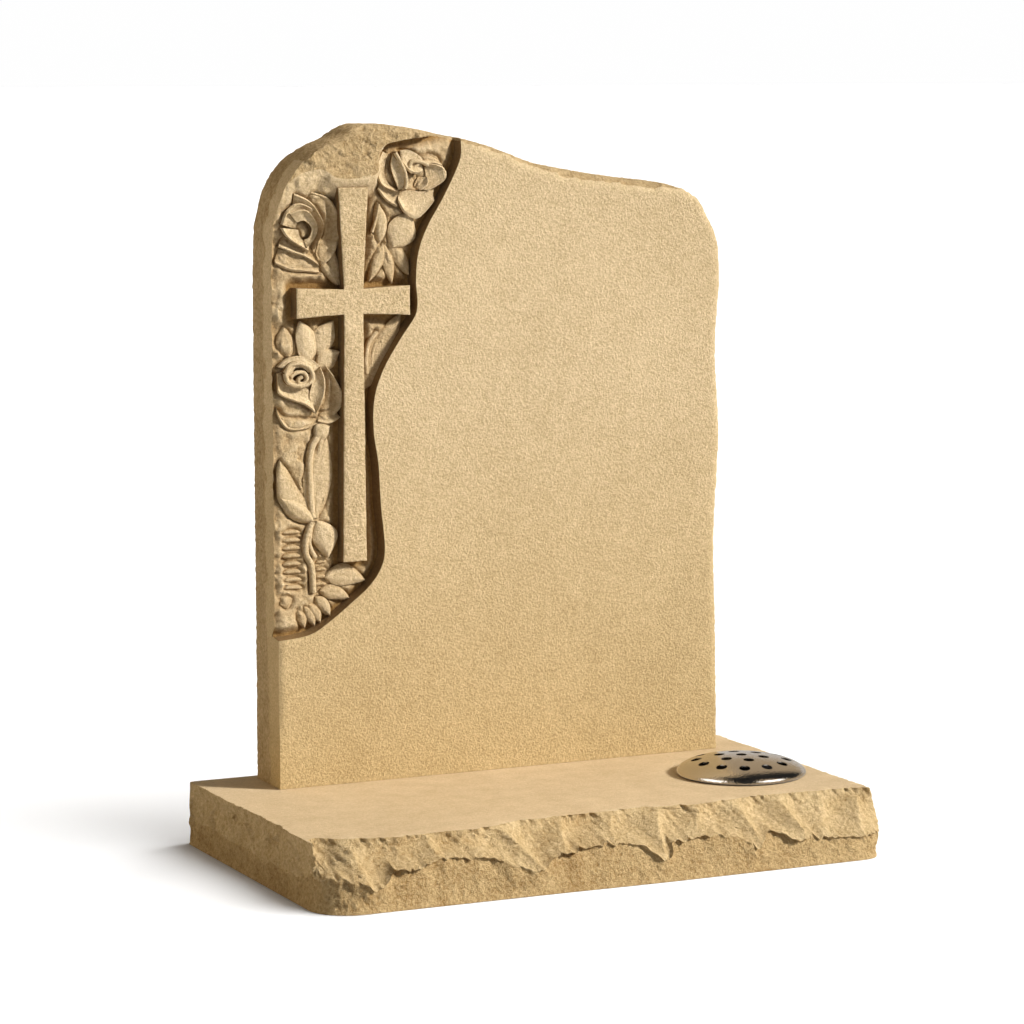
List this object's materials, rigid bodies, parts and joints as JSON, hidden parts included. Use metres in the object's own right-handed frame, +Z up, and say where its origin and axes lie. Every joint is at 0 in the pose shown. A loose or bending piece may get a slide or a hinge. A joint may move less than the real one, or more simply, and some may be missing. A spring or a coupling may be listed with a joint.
{
  "type": "lawn memorial headstone",
  "caption": "Upright carved sandstone headstone on a pitched base slab, with a sunk panel of cross and roses and a domed flower container lid.",
  "frame": {"origin": "under the middle of the base slab, on the ground", "axes": "+Z up, -Y out of the carved face, +X to the right of someone who reads the face"},
  "size_m": [0.76, 0.445, 0.8831],
  "materials": {
    "headstone_stone": "buff sandstone, finely pecked face, rough pitched edges",
    "base_stone": "buff sandstone, rubbed smooth top, rough pitched sides",
    "container_metal": "dull spun aluminium",
    "lid_metal": "polished chrome"
  },
  "bodies": {
    "root": {"headstone": "headstone_stone", "base": "base_stone", "flower_container": "container_metal", "flower_container_lid": "lid_metal"}
  },
  "joints": []
}
